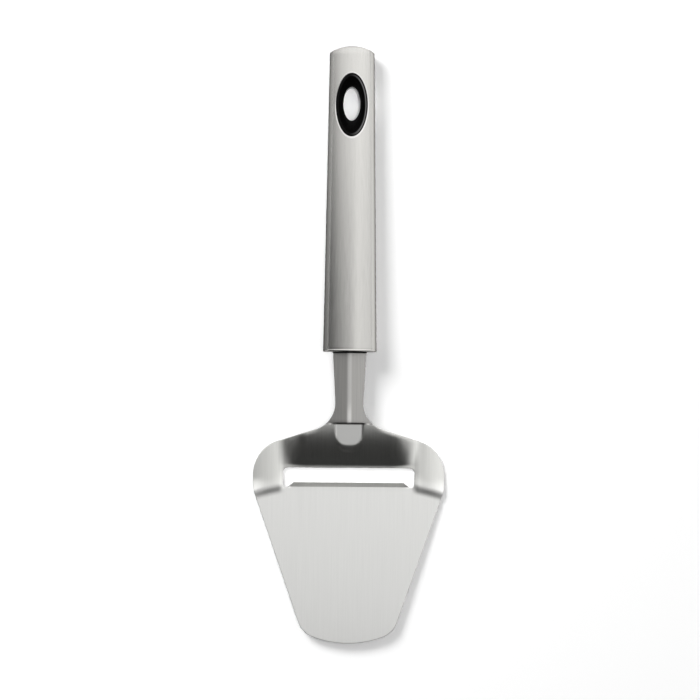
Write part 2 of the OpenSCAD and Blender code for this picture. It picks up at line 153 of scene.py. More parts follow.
REST_TILT = min(lean_to(HANDLE_LEN, -BUTT_HALF * HANDLE_FLAT),
                ring_lean(EYE_Y - EYE_HALF_LEN), ring_lean(EYE_Y + EYE_HALF_LEN))
TILT_COS, TILT_SIN = math.cos(REST_TILT), math.sin(REST_TILT)
Z_LOW = -Y_EDGE * TILT_SIN - LIP_DROP * TILT_COS
BUTT_ENDS = from_handle([[0, HANDLE_LEN, s * BUTT_HALF * HANDLE_FLAT] for s in (-1, 1)])
Y_MID = max(p[1] * TILT_COS + p[2] * TILT_SIN for p in BUTT_ENDS) / 2


def laid_down(points):
    """Points in the tool's frame, in millimetres, as points in the row frame, in metres."""
    x, y, z = np.asarray(points, float).T
    return np.stack([x, y * TILT_COS + z * TILT_SIN - Y_MID,
                     z * TILT_COS - y * TILT_SIN - Z_LOW], 1) * MM


# ---- Mesh helpers --------------------------------------------------------------------------------
SHARP = math.radians(32)
SAME_POINT = 0.02
BATCH = 2000


class Weave:
    """Points and faces of one piece, gathered row by row."""

    def __init__(self):
        self.points, self.faces, self.count = [], [], 0

    def row(self, points):
        points = np.asarray(points, float).reshape(-1, 3)
        self.points.append(points)
        self.count += len(points)
        return np.arange(self.count - len(points), self.count)

    def strip(self, a, b, closed=True):
        n = len(a)
        for i in range(n if closed else n - 1):
            j = (i + 1) % n
            self.faces.append((int(a[i]), int(a[j]), int(b[j]), int(b[i])))

    def loft(self, rows, closed=True, loop=False):
        for a, b in zip(rows, rows[1:] + rows[:1] if loop else rows[1:]):
            self.strip(a, b, closed)

    def sheet(self, over, under, faces):
        """The same faces on both sides of a sheet."""
        self.faces += [tuple(int(over[i]) for i in face) for face in faces]
        self.faces += [tuple(int(under[i]) for i in face[::-1]) for face in faces]

    def piece(self, name, place, finish, node, slot):
        """The piece as a closed, smooth-shaded mesh in the row frame, riding on the one body for
        its CAD node."""
        mesh = bpy.data.meshes.new(name)
        mesh.from_pydata(laid_down(place(np.concatenate(self.points))).tolist(), [], self.faces)
        bm = bmesh.new()
        bm.from_mesh(mesh)
        bmesh.ops.recalc_face_normals(bm, faces=bm.faces)
        bm.to_mesh(mesh)
        bm.free()
        mesh.shade_smooth()
        mesh.set_sharp_from_angle(angle=SHARP)
        mesh.materials.append(finish)
        made = bpy.data.objects.new(name, mesh)
        bpy.context.scene.collection.objects.link(made)
        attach(made, "root")
        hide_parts(node)


def full_turn(count):
    return np.linspace(0, 2 * math.pi, count + 1)[:-1]


def arc(centre, radius, start, end, step=0.5):
    n = max(3, math.ceil(abs(end - start) * radius / step))
    a = np.linspace(start, end, n + 1)
    return np.stack([centre[0] + radius * np.cos(a), centre[1] + radius * np.sin(a)], 1)


def line(a, b, step=0.8):
    n = max(1, math.ceil(math.dist(a, b) / step))
    return np.linspace(a, b, n + 1)


def mirrored(half):
    """A closed loop from its right half, which runs from the middle to the middle, without doubled
    points."""
    loop = [half[0]]
    for point in np.concatenate([half, half[::-1] * (-1, 1)]):
        if math.dist(point, loop[-1]) > SAME_POINT:
            loop.append(point)
    if math.dist(loop[0], loop[-1]) < SAME_POINT:
        loop.pop()
    return np.array(loop)


def turned_in(loop, hole):
    """For each point of a counter-clockwise loop, the unit vector that points into the sheet."""
    along = np.roll(loop, -1, 0) - np.roll(loop, 1, 0)
    along /= np.linalg.norm(along, axis=1)[:, None]
    left = np.stack([-along[:, 1], along[:, 0]], 1)
    return -left if hole else left


def inside(loop, points):
    """True for the points inside a closed loop."""
    x, y = points[:, 0], points[:, 1]
    found = np.zeros(len(points), bool)
    for (x0, y0), (x1, y1) in zip(loop, np.roll(loop, -1, 0)):
        if y0 == y1:
            continue
        spans = (y0 > y) != (y1 > y)
        found ^= spans & (x < (x1 - x0) * (y - y0) / (y1 - y0) + x0)
    return found


def between(outline, holes, points):
    """True for the points inside an outline and outside its holes."""
    found = inside(outline, points)
    for hole in holes:
        found &= ~inside(hole, points)
    return found


def clear_of(loops, points, gaps):
    """The points that are at least their gap away from every point of the loops."""
    every = np.concatenate(loops)
    keep = np.ones(len(points), bool)
    for start in range(0, len(points), BATCH):
        part = slice(start, start + BATCH)
        near = np.sqrt(((points[part][:, None, :] - every[None]) ** 2).sum(2)).min(1)
        keep[part] = near > gaps[part]
    return points[keep]


def filled(outline, holes, inner, bends=()):
    """Triangles between an outline and its holes, through inner points and along bend lines. The
    points start with the outline's and then the holes', in their order."""
    points, edges, n = [], [], 0
    for closed, rows in ((True, [outline, *holes]), (False, bends)):
        for row in rows:
            k = len(row)
            edges += [(n + i, n + (i + 1) % k) for i in range(k if closed else k - 1)]
            points.append(row)
            n += k
    points = np.concatenate([*points, inner])
    # Output kind 0 is every triangle, also those in the holes, which are taken out here
    _, _, triangles, sources, _, _ = delaunay_2d_cdt(
        [tuple(p) for p in points], edges, [], 0, TINY, True)
    faces = np.array([[sources[i][0] for i in triangle] for triangle in triangles])
    return points, faces[between(outline, holes, points[faces].mean(1))]


def grid(x0, x1, dx, y0, y1, dy):
    xs = np.linspace(x0, x1, max(2, round((x1 - x0) / dx) + 1))
    ys = np.linspace(y0, y1, max(2, round((y1 - y0) / dy) + 1))
    return np.stack(np.meshgrid(xs, ys), -1).reshape(-1, 2)


# ---- The pressed head ----------------------------------------------------------------------------
# Rows of points inside the head, fine where the sheet bends and wide where it is flat: x from, to
# and step, y from, to and step, and the gap to the sheet's edges
HEAD_ROWS = (
    (-7.2, 7.2, 0.3, 87.4, 88.9, 0.15, 0.1),
    (-9, 9, 0.3, 75, 95, 0.3, 0.2),
    (-38, 38, 0.55, 71, 88, 0.42, 0.35),
    (19, 38.4, 0.5, 55.5, 71, 0.42, 0.35),
    (-38.4, -19, 0.5, 55.5, 71, 0.42, 0.35),
    (-6.3, 6.3, 0.42, 95, 119, 1.6, 0.4),
    (-24, 24, 3, 57, 62.4, 1.8, 0.8),
    (-38, 38, 4, 2, 55, 4, 1.2),
    (-5, 5, 1, 120, TANG_STOP, 3, 0.7))
FLANK_COUNT = 16


def soft_pos(d, r):
    """A length where it is positive and 0 where it is negative, with a soft turn between."""
    return np.where(d <= -r, 0, np.where(d >= r, d, (d + r) ** 2 / (4 * r)))


def ease(u):
    u = np.clip(u, 0, 1)
    return u * u * (3 - 2 * u)


def swell(u, power):
    return 1 - (1 - np.clip(u, 0, 1)) ** power


def rim_y(ax):
    """Where the shoulder's upper outline runs."""
    end_x = HEAD_HALF - SHOULDER_R + SHOULDER_R * math.sin(SHOULDER_SLOPE)
    end_y = Y_WIDE + SHOULDER_R * math.cos(SHOULDER_SLOPE)
    across = ax - HEAD_HALF + SHOULDER_R
    round_part = Y_WIDE + np.sqrt(np.maximum(SHOULDER_R ** 2 - across ** 2, 0))
    return np.where(ax > end_x, round_part, end_y + (end_x - ax) * math.tan(SHOULDER_SLOPE))


def arm_at(ax, y):
    """Height of an arm above the plate: a step with a slight crest and crown, and a foot that stays
    down beside the relief hole."""
    past = y - CREASE_TOP + CREASE_LEAN * (ax - SLOT_HALF)
    foot = 1 - ease((ax - SLOT_HALF + RELIEF_R) / ARM_FOOT_W)
    foot = foot * (1 - ease((y - Y_EDGE) / ARM_FOOT_RUN))
    crest = ARM_CREST * (1 - ease(np.abs(past - ARM_RUN) / CREST_W))
    step = ARM_RISE * ease(past / ARM_RUN) + crest
    out = np.maximum(ax - SLOT_HALF, 0) - CROWN_OUT
    crown = ARM_CROWN * (out ** 2 - CROWN_OUT ** 2 * foot)
    return step * (1 - foot) - crown * ease((past - CROWN_START) / CROWN_RUN)


def bar_at(y):
    """Height of the bar above the plate."""
    run = BAR_RUN + BAR_OVERRUN
    past = y - Y_BAR
    straight = past - soft_pos(past - run, BAR_END_SOFT)
    swelled = swell(soft_pos(past - BAR_LIP, BAR_LIP_SOFT) / (run - BAR_LIP), BAR_SWELL)
    return BAR_LIFT + BAR_SLOPE * straight + (BAR_RISE - BAR_SLOPE * run) * swelled


def raised_at(ax, y):
    """Height of arms and bar. They level out towards the shoulder's upper outline."""
    past_rim = soft_pos(y - rim_y(ax) + RIM_SOFT, RIM_SOFT)
    y = y - past_rim * ease((ax - NECK_HALF - RIM_OFF_NECK) / RIM_RUN)
    share = (1 - ease((ax - BAR_FLAT_HALF) / BAR_BLEND)) * ease((y - Y_EDGE) / SLOT_GAP)
    return bar_at(y) * share + arm_at(ax, y) * (1 - share)


def neck_at(ax, y):
    """Height of the neck's ridge, with the neck's rise towards the handle."""
    roof = np.where(ax < RIDGE_ROUND, RIDGE_H - RIDGE_SLOPE * ax * ax / (2 * RIDGE_ROUND),
                    RIDGE_H - RIDGE_SLOPE * (ax - RIDGE_ROUND / 2))
    rise = soft_pos(y - Y_NECK - NECK_BEND, NECK_BEND) * math.tan(HANDLE_RISE)
    return roof * ease((y - TONGUE_Y1 + RIDGE_OVERLAP) / RIDGE_EASE) + rise


def tongue_share(ax, y):
    """How far the flat tongue takes over from the bend: 1 on it and 0 off it. Its sides are crisp,
    and its round end rolls into the bend."""
    u, w = ax / TONGUE_HALF, np.minimum(y - TONGUE_Y1, 0) / TONGUE_LEN
    far = np.maximum(np.cbrt(u ** 3 - w ** 3), TINY)
    rate = np.hypot(u ** 2 / TONGUE_HALF, w ** 2 / TONGUE_LEN) / far ** 2
    gap = np.maximum((far - 1) / np.maximum(rate, TINY), y - TONGUE_Y1)
    roll = (w / far) ** 4 * np.minimum(far, 1) ** 2
    soft = TONGUE_EDGE + TONGUE_ROLL * roll
    return 1 - ease((gap + TONGUE_IN + TONGUE_ROLL_IN * roll) / soft)


def on_lip_side(ax, y):
    return (y < Y_EDGE + SLOT_GAP / 2) & (ax < SLOT_HALF - RELIEF_R)


def sheet_top(ax, y):
    """Height of the sheet's seen side above the plate's underside."""
    past_bend = np.clip((y - PLATE_LEN) / LIP_W, 0, 1)
    lip = SHEET_T - (SHEET_T + LIP_DROP - EDGE_T) * past_bend
    high = SHEET_T + raised_at(ax, y) + neck_at(ax, y)
    tongue = TONGUE_Z1 + TONGUE_SLOPE * (y - TONGUE_Y1)
    pressed = high + (tongue - high) * tongue_share(ax, y)
    return np.where(on_lip_side(ax, y), lip, pressed)


def sheet_under(ax, y):
    """Height of the sheet's hidden side: a sheet's thickness away, measured across the slope."""
    e = SLOPE_PROBE
    top = sheet_top(ax, y)
    gx = sheet_top(ax + e, y) - sheet_top(np.maximum(ax - e, 0), y)
    gx = gx / (e + np.minimum(ax, e))
    gy = (sheet_top(ax, y + e) - sheet_top(ax, y - e)) / (2 * e)
    steep = np.minimum(np.sqrt(1 + gx * gx + gy * gy), STEEPEST)
    roof = np.sqrt(1 + (RIDGE_SLOPE * np.minimum(ax / RIDGE_ROUND, 1)) ** 2)
    under = np.maximum(top - SHEET_T * steep, 0)
    under = np.where(y < Y_CREASE_END - CREASE_GAP, 0, under)
    under = np.where(y > Y_NECK + RIDGE_ALONE, top - SHEET_T * roof, under)
    lip = -LIP_DROP * np.clip((y - PLATE_LEN) / LIP_W, 0, 1)
    return np.where(on_lip_side(ax, y), lip, under)


def sheet_sides(flat):
    """Heights of the sheet's seen and hidden sides at points of its plan."""
    ax, y = np.abs(flat[:, 0]), flat[:, 1]
    return sheet_top(ax, y), sheet_under(ax, y)


def head_outline():
    """The plan of plate, shoulders, neck and tang."""
    lean = (SIDE_END[0] - TIP_HALF) / SIDE_END[1]
    slant = math.hypot(1, lean)
    # The corner arc touches both the end arc and the straight side
    k = TIP_HALF - TIP_CORNER_R * slant
    b = k * lean - TIP_END_R
    c = k * k + TIP_END_R ** 2 - (TIP_END_R - TIP_CORNER_R) ** 2
    corner_y = (-b - math.sqrt(b * b - slant * slant * c)) / slant ** 2
    corner = (k + lean * corner_y, corner_y)
    split = math.atan2(corner[1] - TIP_END_R, corner[0])
    side_start = np.array(corner) + TIP_CORNER_R * np.array([1, -lean]) / slant
    # The side curves on to the widest place, and the shoulder's arc goes on from there
    turn = SIDE_END + np.array([1, 1 / lean]) * (HEAD_HALF - SIDE_END[0])
    widest = np.array([HEAD_HALF, Y_WIDE])
    t = np.linspace(0, 1, FLANK_COUNT)[:, None]
    flank = (1 - t) ** 2 * SIDE_END + 2 * t * (1 - t) * turn + t * t * widest
    shoulder = arc((HEAD_HALF - SHOULDER_R, Y_WIDE), SHOULDER_R, 0, math.pi / 2 - SHOULDER_SLOPE)
    end = shoulder[-1]
    fillet_x = NECK_MIN_HALF + NECK_FILLET_R
    fall = (fillet_x - end[0]) * math.sin(SHOULDER_SLOPE)
    fillet_y = end[1] + (NECK_FILLET_R - fall) / math.cos(SHOULDER_SLOPE)
    fillet = arc((fillet_x, fillet_y), NECK_FILLET_R, 1.5 * math.pi - SHOULDER_SLOPE, math.pi,
                 step=0.4)
    neck_full = (NECK_HALF, Y_MOUTH - NECK_FULL)
    return mirrored(np.concatenate([
        arc((0, TIP_END_R), TIP_END_R, -math.pi / 2, split, step=0.8),
        arc(corner, TIP_CORNER_R, split, -math.atan(lean)),
        line(side_start, SIDE_END, step=1.2),
        flank, shoulder, line(end, fillet[0], step=0.5), fillet,
        line(fillet[-1], neck_full),
        line(neck_full, (NECK_HALF, NECK_STOP)),
        line((NECK_HALF, NECK_STOP), (TANG_HALF, NECK_STOP)),
        line((TANG_HALF, NECK_STOP), (TANG_HALF, TANG_STOP), step=2),
        line((TANG_HALF, TANG_STOP), (0, TANG_STOP), step=1.5)]))


def slot_outline():
    """The plan of the slot: the cutting edge, a relief hole at either end, and the bar's edge."""
    relief = arc((SLOT_HALF - RELIEF_R, PLATE_LEN + RELIEF_R - RELIEF_SINK), RELIEF_R,
                 RELIEF_START, 2 * math.pi, step=0.2)
    corner = arc((SLOT_HALF - SLOT_CORNER_R, Y_BAR - SLOT_CORNER_R), SLOT_CORNER_R,
                 0, math.pi / 2, step=0.25)
    edge_end = (EDGE_HALF, Y_EDGE)
    return mirrored(np.concatenate([
        line((0, Y_EDGE), edge_end), line(edge_end, relief[0], step=0.4), relief,
        line(relief[-1], corner[0], step=0.5), corner, line(corner[-1], (0, Y_BAR), step=0.6)]))


def head_points():
    """Points inside the head and the gap that each keeps. Finer rows keep the wider ones out."""
    patches, points, gaps = [], [], []
    for *spans, gap in HEAD_ROWS:
        patch = left = grid(*spans)
        for other in patches:
            low, high = other.min(0) - gap, other.max(0) + gap
            left = left[((left < low) | (left > high)).any(1)]
        patches.append(patch)
        points.append(left)
        gaps.append(np.full(len(left), gap))
    return np.concatenate(points), np.concatenate(gaps)


def pressed_head(finish):
    """The head as one pressed sheet with rounded edges, from its free end to the tang."""
    rivet_y = [from_handle([[0, CORE_Y0 + CORE_LEN * share, 0]])[0][1] for share in RIVET_PLACES]
    rivet_holes = [arc((0, y), RIVET_HOLE_R, 0, 2 * math.pi)[:-1] for y in rivet_y]
    loops = [head_outline(), slot_outline(), *rivet_holes]
    ways = [turned_in(loop, i > 0) for i, loop in enumerate(loops)]
    rounds = []
    for loop, way in zip(loops, ways):
        seen, hidden = sheet_sides(loop + way * EDGE_PROBE)
        rounds.append(np.minimum(EDGE_ROUND, EDGE_ROUND_SHARE * (seen - hidden))[:, None])
    # A row close to each rounded edge keeps the flat faces' shading flat
    outline, *holes = [loop + way * (r + EDGE_ROW) for loop, way, r in zip(loops, ways, rounds)]
    lip_bend = line((-LIP_BEND_HALF, PLATE_LEN), (LIP_BEND_HALF, PLATE_LEN), step=1.2)
    inner, gaps = head_points()
    keep = between(outline, holes, inner)
    inner = clear_of([outline, *holes, lip_bend], inner[keep], gaps[keep])
    flat, faces = filled(outline, holes, inner, [lip_bend])

    weave = Weave()
    over, under = [weave.row(np.column_stack([flat, z])) for z in sheet_sides(flat)]
    weave.sheet(over, under, faces)
    first = 0
    for loop, way, r in zip(loops, ways, rounds):
        last = first + len(loop)
        rows = [over[first:last]]
        for below, turns in ((False, EDGE_TURNS), (True, EDGE_TURNS[::-1])):
            for turn in turns:
                at = loop + way * r * (1 - math.sin(turn))
                drop = r[:, 0] * (1 - math.cos(turn))
                seen, hidden = sheet_sides(at)
                z = hidden + drop if below else seen - drop
                rows.append(weave.row(np.column_stack([at, z])))
        rows.append(under[first:last])
        weave.loft(rows)
        first = last
    weave.piece("pressed_head", lambda points: points, finish, "slicing_head", "head_steel")


# ---- The handle ----------------------------------------------------------------------------------
# Rows of points along the handle: at its rolled mouth, over its plain length, round the eye and at
# the butt, and those of the seam close to the mouth
MOUTH_ROWS = (0.55, 0.67, 0.8, 0.92, 1.05, 1.18, 1.3, 1.43, 1.55, 1.75)
PLAIN_ROWS = np.arange(3, 81, 3.0)
EYE_ROWS = np.arange(82, 114.5, 0.55)
BUTT_ROWS = (115.6, 117.2, 118.8)
SEAM_ROWS, SEAM_PLAIN_Y, SEAM_COUNT = (0.67, 1.05, 1.43, 2.0), 3, 42
# Ovals round the eye's hole, by their distance from the black ring's edge
HOLE_ROWS = (-0.35, -0.04, 0.03, 0.09, 0.15, 0.21, 0.27, 0.33, 0.4, 0.6)
HOLE_CLEAR, SKIN_CLEAR = 0.85, 0.1  # what the other points keep from the ring and the outline
ROUND_COUNT, HOLE_COUNT, CAP_COUNT = 61, 144, 96
ROUND_STEP = 9.0  # millimetres of the flat layout per radian round the handle
CAP_RINGS, CAP_EDGE_RING = (0.04, 0.2, 0.4, 0.6, 0.8), 0.93


def arch_y(x):
    """Where the butt's arch runs."""
    return HANDLE_LEN - BUTT_R + np.sqrt(BUTT_R ** 2 - x * x)


def on_shell(v, y, inset):
    """A point of the shell at an angle round the handle, a place along it and a depth below its
    outside."""
    a = outer_half(y) - inset
    b = outer_half(y) * HANDLE_FLAT - inset
    return np.stack([a * np.cos(v), y + 0 * v, b * np.sin(v)], -1)


def butt_y(v, inset=0.0):
    """Where the arched butt cuts the shell at an angle, closed in on in a few steps."""
    y = np.full_like(v, HANDLE_LEN - BUTT_IN)
    for _ in range(4):
        y = arch_y((outer_half(y) - inset) * np.cos(v))
    return y


def past_ring(x, y):
    """Distance outside the edge of the eye's black ring."""
    u, w = x / EYE_HALF_W, (y - EYE_Y) / EYE_HALF_LEN
    far = np.hypot(u, w)
    rate = np.hypot(u / EYE_HALF_W, w / EYE_HALF_LEN) / np.maximum(far, TINY)
    return (far - 1) / np.maximum(rate, TINY)


def half_shell(name, side, finish, node):
    """One half of the hollow handle: a skin with the eye's hole, a turned-in mouth and the butt's
    edge. It is laid out flat first, by the angle round the handle and the place along it."""
    v_row = np.linspace(0, math.pi, ROUND_COUNT)
    across = ROUND_STEP * v_row
    y_last = butt_y(v_row) - BUTT_ROUND
    y_side = np.concatenate([SEAM_ROWS, np.linspace(SEAM_PLAIN_Y, y_last[0], SEAM_COUNT)[:-1]])
    outline = np.concatenate([
        np.column_stack([across, np.full_like(across, MOUTH_ROUND)]),
        np.column_stack([np.full_like(y_side, across[-1]), y_side]),
        np.column_stack([across, y_last])[::-1],
        np.column_stack([np.zeros_like(y_side), y_side])[::-1]])
    t = full_turn(HOLE_COUNT)

    def oval(grow):
        x, y = (EYE_HALF_W + grow) * np.cos(t), EYE_Y + (EYE_HALF_LEN + grow) * np.sin(t)
        return np.stack([ROUND_STEP * np.arccos(np.clip(x / outer_half(y), -1, 1)), y], -1)

    hole = oval(-RING_LAP)[::-1]
    near = np.concatenate([oval(grow) for grow in HOLE_ROWS])
    along = np.concatenate([EYE_ROWS, MOUTH_ROWS, PLAIN_ROWS, BUTT_ROWS])
    spread = np.stack(np.meshgrid(across[1:-1], along), -1).reshape(-1, 2)
    x = outer_half(spread[:, 1]) * np.cos(spread[:, 0] / ROUND_STEP)
    spread = spread[past_ring(x, spread[:, 1]) > HOLE_CLEAR]
    spread = spread[inside(outline, spread)]
    spread = clear_of([outline], spread, np.full(len(spread), SKIN_CLEAR))
    flat, faces = filled(outline, [hole], np.concatenate([near, spread]))

    # Skin: dips along the seam, behind the mouth's roll and at the rounded edge of the eye's hole
    weave = Weave()
    v, y = flat[:, 0] / ROUND_STEP, flat[:, 1]
    x = outer_half(y) * np.cos(v)
    seam = np.where((v < TINY) | (v > math.pi - TINY), SEAM_DIP, 0)
    roll = ROLL_DIP * np.cos(np.clip((y - ROLL_AT) / ROLL_W, -1, 1) * math.pi / 2) ** 2
    hole_edge = HOLE_DIP * np.clip(1 - past_ring(x, y) / HOLE_ROUND, 0, 1) ** 2
    outer = weave.row(on_shell(v, y, np.maximum(seam, roll + hole_edge)))
    inner = weave.row(on_shell(v, np.maximum(y, WALL_T + MOUTH_LIP_GAP), WALL_T))
    weave.sheet(outer, inner, faces)
    # The skin's first n points are the mouth's edge, and n points from the k-th on the butt's
    n, k = len(v_row), len(v_row) + len(y_side)
    end_dip = np.zeros(n)
    end_dip[[0, -1]] = SEAM_DIP

    def rounded(v, end, radius, way):
        """Rows over a rounded outer edge, down to the handle's end."""
        rows = []
        for turn in EDGE_TURNS[1:]:
            dip = np.maximum(end_dip, radius * (1 - math.cos(turn)))
            rows.append(weave.row(on_shell(v, end + way * radius * (1 - math.sin(turn)), dip)))
        return rows

    # Mouth: rounded outer edge, flat end, lip turned in
    depth = WALL_T + MOUTH_LIP
    mouth = [outer[:n], *rounded(v_row, 0, MOUTH_ROUND, 1)]
    for y, inset in ((0, depth - MOUTH_LIP_ROUND), (MOUTH_LIP_ROUND, depth), (WALL_T, depth)):
        mouth.append(weave.row(on_shell(v_row, y, inset)))
    mouth.append(inner[:n])
    weave.loft(mouth, closed=False)
    # Butt: rounded outer edge and the sheet's cut end
    v_back = v_row[::-1]
    butt = [outer[k:k + n], *rounded(v_back, butt_y(v_back), BUTT_ROUND, -1)]
    butt.append(weave.row(on_shell(v_back, butt_y(v_back, WALL_T), WALL_T)))
    butt.append(inner[k:k + n])
    weave.loft(butt, closed=False)
    # Seam faces along both sides, and the ends of mouth and butt in the same plane
    left = [0, *range(len(outline) - 1, k + n - 1, -1), k + n - 1]
    right = [n - 1, *range(n, k), k]
    for rows in (left, right):
        weave.strip(outer[rows], inner[rows], closed=False)
    for rows in (mouth, butt):
        for end in (0, -1):
            weave.faces.append(tuple(int(row[end]) for row in rows))
    # Wall of the eye's hole
    wall = slice(len(outline), len(outline) + len(hole))
    weave.strip(outer[wall], inner[wall])
    weave.piece(name, on_side(side), finish, node, "handle_steel")


def butt_plate(finish):
    """The arched plate that closes the hollow handle, flush with the shells' edges."""
    t = full_turn(CAP_COUNT)
    middle = outer_half(HANDLE_LEN / 2)
    a = outer_half(HANDLE_LEN - BUTT_IN) - WALL_T - CAP_PLAY
    b = a * (middle * HANDLE_FLAT - WALL_T) / (middle - WALL_T)

    def ring(scale, inset, back):
        x, z = (a * scale - inset) * np.cos(t), (b * scale - inset) * np.sin(t)
        return np.stack([x, arch_y(x) - back, z], 1)

    rings = [(scale, 0, 0) for scale in (*CAP_RINGS, CAP_EDGE_RING)]
    rings += [(1, CAP_ROUND, 0), (1, CAP_ROUND_MID, CAP_ROUND_MID), (1, 0, CAP_ROUND)]
    rings += [(1, 0, CAP_T - CAP_BACK_ROUND), (1, CAP_BACK_ROUND, CAP_T)]
    rings += [(scale, 0, CAP_T) for scale in CAP_RINGS[::-1]]
    weave = Weave()
    rows = [weave.row(ring(*sizes)) for sizes in rings]
    weave.loft(rows)
    weave.faces += [tuple(map(int, rows[0])), tuple(map(int, rows[-1][::-1]))]
    weave.piece("butt_plate", from_handle, finish, "butt_cap", "handle_steel")


# ---- The hanging eye -----------------------------------------------------------------------------
EYE_COUNT, DISH_COUNT = 120, 12
# The ring's flat crown, which laps over the steel, and its turn into the dish: inset and share of
# the ring's height
RING_ROWS = ((0.0, -1.0), (0.0, 0.5), (0.05, 0.8), (0.14, 0.96), (0.3, 1.0), (0.6, 1.0),
             (0.85, 1.0), (1.0, 0.97), (1.07, 0.86), (1.12, 0.6))
# The rounded edge from dish to throat: inset and drop
THROAT_ROWS = ((0.2, 0.07), (0.27, 0.18), (0.3, 0.36))


def eyelet(name, side, finish, node):
    """One half of the eye: a proud ring on the steel, a dish, and the throat down to the middle of
    the handle."""
    t = full_turn(EYE_COUNT)
    weave, rows = Weave(), []

    def oval(half_w, half_len, shift=0.0):
        return np.stack([half_w * np.cos(t), EYE_Y + shift + half_len * np.sin(t)], 1)

    def skin(flat, lift=0.0):
        return HANDLE_FLAT * np.sqrt((outer_half(flat[:, 1]) + lift) ** 2 - flat[:, 0] ** 2)

    def at(flat, z):
        rows.append(weave.row(np.column_stack([flat, z + np.zeros(len(flat))])))

    for inset, share in RING_ROWS:
        edge_w, edge_len = EYE_HALF_W - inset, EYE_HALF_LEN - inset
        flat = oval(edge_w, edge_len)
        edge_z = skin(flat, RING_PROUD * share)
        at(flat, edge_z)
    # Dish: from the ring's last row down to the throat
    throat_w, throat_len = THROAT_HALF_W + THROAT_ROUND, THROAT_HALF_LEN + THROAT_ROUND
    throat_z = outer_half(EYE_Y) * HANDLE_FLAT + RING_PROUD - DISH_DEPTH
    for share in np.linspace(0, 1, DISH_COUNT + 1)[1:]:
        grow = 1 - share
        flat = oval(throat_w + (edge_w - throat_w) * grow,
                    throat_len + (edge_len - throat_len) * grow, THROAT_SHIFT * share)
        at(flat, throat_z + (edge_z - throat_z) * grow ** DISH_POWER)
    # Throat: rounded edge and straight wall. The front eyelet's spigot reaches into the rear one.
    for inset, drop in THROAT_ROWS:
        at(oval(throat_w - inset, throat_len - inset, THROAT_SHIFT), throat_z - drop)
    throat, spigot = [oval(THROAT_HALF_W + wall, THROAT_HALF_LEN + wall, THROAT_SHIFT)
                      for wall in (0, SPIGOT_WALL)]
    if side > 0:
        at(throat, SPIGOT_ROOT)
    at(throat, -side * SPIGOT_LEN)
    at(spigot, -side * SPIGOT_LEN)
    at(spigot, 0)
    # Body: up through the hole in the steel
    body = oval(EYE_HALF_W - RING_LAP - EYE_PLAY, EYE_HALF_LEN - RING_LAP - EYE_PLAY)
    for z in (0, skin(body) - RING_SINK, skin(body, -RING_PROUD)):
        at(body, z)
    weave.loft(rows, loop=True)
    weave.piece(name, on_side(side), finish, node, "black_plastic")


# ---- Materials -----------------------------------------------------------------------------------
NOISE_LOW, NOISE_HIGH = 0.3, 0.7  # nearly all of a noise pattern lies between these values
MIX_A, MIX_B, MIX_OUT = 6, 7, 2  # the sockets of a mix node that hold colours
COLOURS, SOFT = {"data_type": "RGBA"}, {"interpolation_type": "SMOOTHSTEP"}
EYE_ROW_Y = laid_down(from_handle([[0, EYE_Y, 0]]))[0][1] / MM


def linear(code):
    """An sRGB hex colour as linear RGBA."""
    parts = [int(code[i:i + 2], 16) / 255 for i in (1, 3, 5)]
    return (*(c / 12.92 if c <= 0.04045 else ((c + 0.055) / 1.055) ** 2.4 for c in parts), 1.0)


def shades(dark, light):
    """The stops of a ramp that takes a noise pattern from one colour to another."""
    return (NOISE_LOW, linear(dark)), (NOISE_HIGH, linear(light))


def add(tree, kind, feeds=(), stops=(), **settings):
    """A node of a kind with its settings. Feeds give its sockets a value, a node's first output or
    another output, and stops are the places and colours of a ramp."""
    node = tree.nodes.new("ShaderNode" + kind)
    for name, value in settings.items():
        setattr(node, name, value)
    for socket, value in dict(feeds).items():
        if isinstance(value, bpy.types.Node):
            value = value.outputs[0]
        if isinstance(value, bpy.types.NodeSocket):
            tree.links.new(value, node.inputs[socket])
        else:
            node.inputs[socket].default_value = value
    for i, (place, colour) in enumerate(stops):
        ramp = node.color_ramp.elements
        mark = ramp[i] if i < 2 else ramp.new(place)
        mark.position = place
        mark.color = colour if isinstance(colour, tuple) else (colour, colour, colour, 1)
    return node


def material(name):
    made = bpy.data.materials.new(name)
    made.use_nodes = True
    made.node_tree.nodes.clear()
    return made, made.node_tree


def oval_reach(tree, place, middle_y, half_w, half_len):
    """How far out a place is from the middle of an oval, with 1 on the oval's edge."""
    scaled = add(tree, "Mapping", {
        "Vector": place, "Location": (0, -middle_y / half_len, 0),
        "Scale": (1 / (half_w * MM), 1 / (half_len * MM), 0)})
    return add(tree, "VectorMath", {0: scaled}, operation="LENGTH").outputs["Value"]


